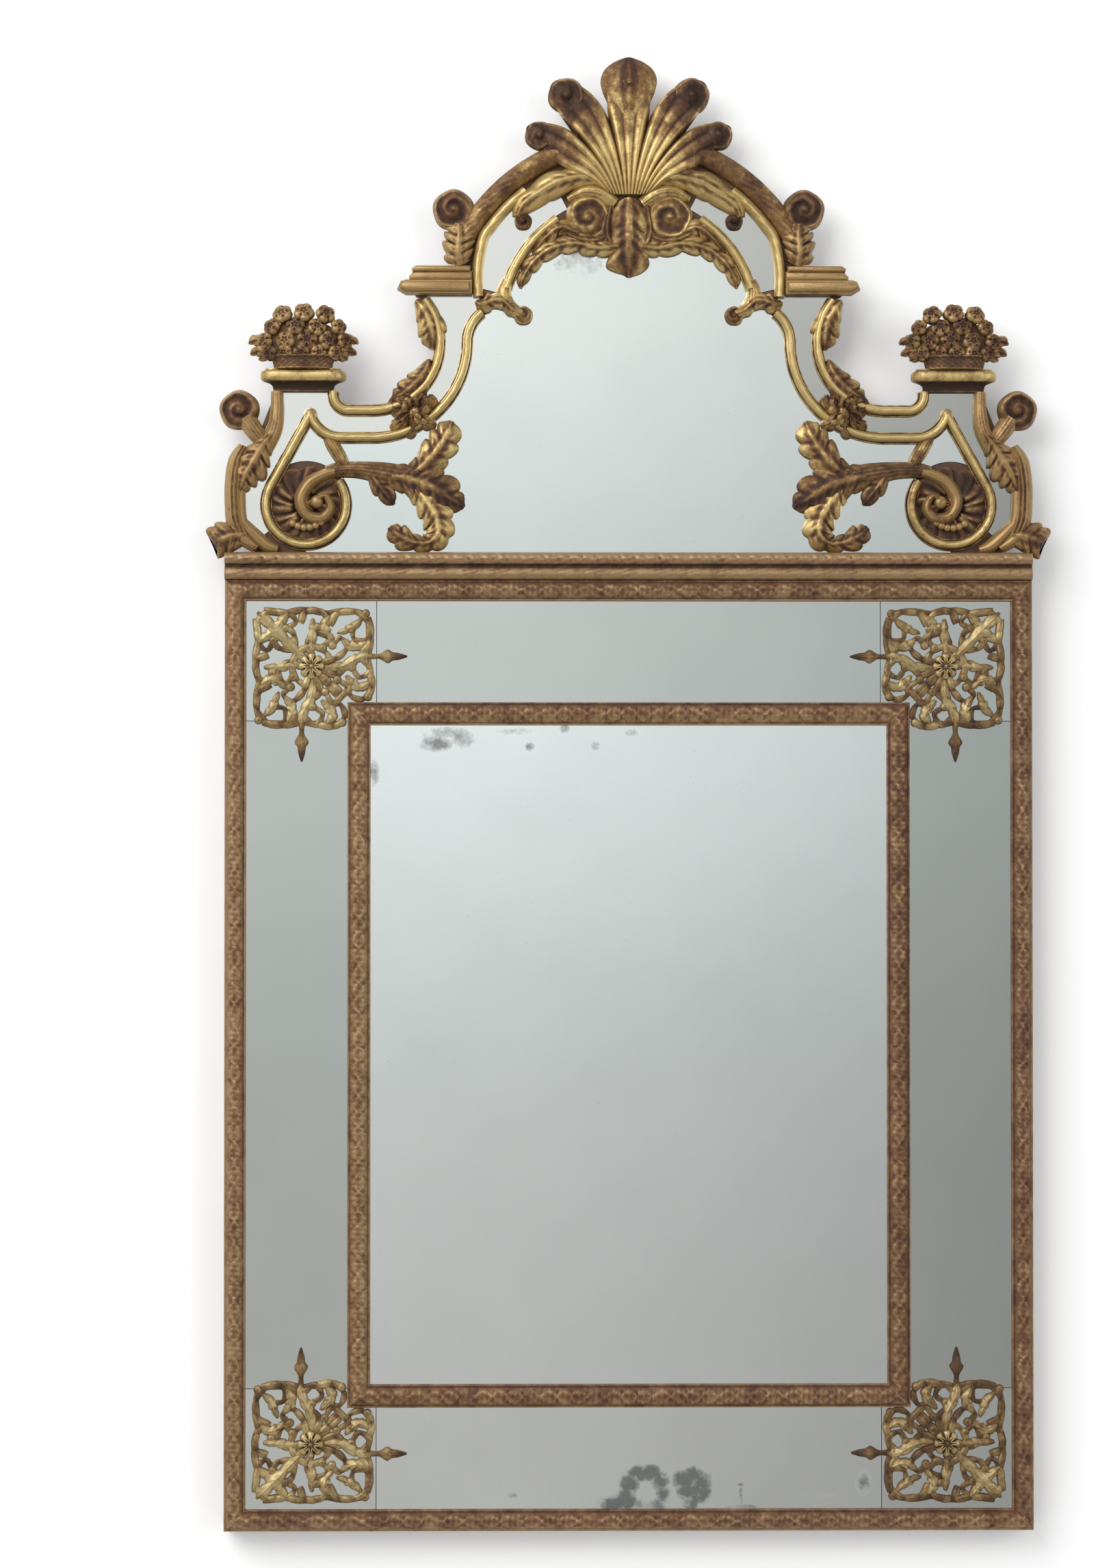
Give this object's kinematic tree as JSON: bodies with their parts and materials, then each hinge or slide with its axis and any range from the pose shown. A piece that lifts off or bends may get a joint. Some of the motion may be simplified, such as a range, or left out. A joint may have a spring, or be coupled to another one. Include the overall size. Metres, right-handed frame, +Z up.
{
  "type": "wall mirror",
  "caption": "Carved giltwood wall mirror with bordered plates, pierced corner ornament and an arched crest of scrolls, flower baskets and a palmette, hung by iron rings at its back.",
  "frame": {"origin": "middle of the foot of the back face, on the wall plane", "axes": "+X to the viewer's right, +Y into the wall so the front faces -Y, +Z up"},
  "size_m": [0.9944, 0.0671, 1.7295],
  "materials": {
    "gilt_wood": "worn gold leaf over red ground on carved wood",
    "mirror_plate": "aged silvering with some foxing",
    "pine": "planed, darkened with age",
    "iron": "forged, dull",
    "screw_steel": "dull steel"
  },
  "bodies": {
    "mirror": {"outer_rail_bottom": "gilt_wood", "outer_rail_top": "gilt_wood", "outer_stile_left": "gilt_wood", "outer_stile_right": "gilt_wood", "inner_rail_bottom": "gilt_wood", "inner_rail_top": "gilt_wood", "inner_stile_left": "gilt_wood", "inner_stile_right": "gilt_wood", "crest_rail": "gilt_wood", "sweep_moulding_left": "gilt_wood", "sweep_moulding_right": "gilt_wood", "inner_moulding_left": "gilt_wood", "inner_moulding_right": "gilt_wood", "arch_band_left": "gilt_wood", "arch_band_right": "gilt_wood", "arch_bead_left": "gilt_wood", "arch_bead_right": "gilt_wood", "shoulder_left": "gilt_wood", "shoulder_right": "gilt_wood", "pedestal_cap_left": "gilt_wood", "pedestal_cap_right": "gilt_wood", "flower_basket_left": "gilt_wood", "flower_basket_right": "gilt_wood", "console_left": "gilt_wood", "console_right": "gilt_wood", "scroll_rosette_left": "gilt_wood", "scroll_rosette_right": "gilt_wood", "acanthus_spray_left": "gilt_wood", "acanthus_spray_right": "gilt_wood", "leaf_clasp_left": "gilt_wood", "leaf_clasp_right": "gilt_wood", "palmette": "gilt_wood", "arch_leaf_left": "gilt_wood", "arch_leaf_right": "gilt_wood", "cartouche": "gilt_wood", "corner_fret_top_left": "gilt_wood", "corner_fret_top_right": "gilt_wood", "corner_fret_bottom_left": "gilt_wood", "corner_fret_bottom_right": "gilt_wood", "center_glass": "mirror_plate", "border_glass_left": "mirror_plate", "border_glass_right": "mirror_plate", "border_glass_top": "mirror_plate", "border_glass_bottom": "mirror_plate", "corner_glasses": "mirror_plate", "crest_glass_center": "mirror_plate", "crest_glass_sweep_left": "mirror_plate", "crest_glass_sweep_right": "mirror_plate", "crest_glass_wing_left": "mirror_plate", "crest_glass_wing_right": "mirror_plate", "crest_glass_arch_left": "mirror_plate", "crest_glass_arch_right": "mirror_plate", "crest_board": "pine", "back_boards": "pine", "crest_struts": "pine", "retaining_blocks": "pine", "hanger_plates": "iron", "wood_screws": "screw_steel"},
    "ring_left": {"hanger_ring_left": "iron"},
    "ring_right": {"hanger_ring_right": "iron"}
  },
  "joints": [
    {"name": "ring_swing_left", "type": "hinge", "parent": "mirror", "child": "ring_left", "pos_m": [-0.18, -0.0053, 1.004], "axis": [1, 0, 0], "range_deg": [0, 180]},
    {"name": "ring_swing_right", "type": "hinge", "parent": "mirror", "child": "ring_right", "pos_m": [0.18, -0.0053, 1.004], "axis": [1, 0, 0], "range_deg": [0, 180]}
  ]
}
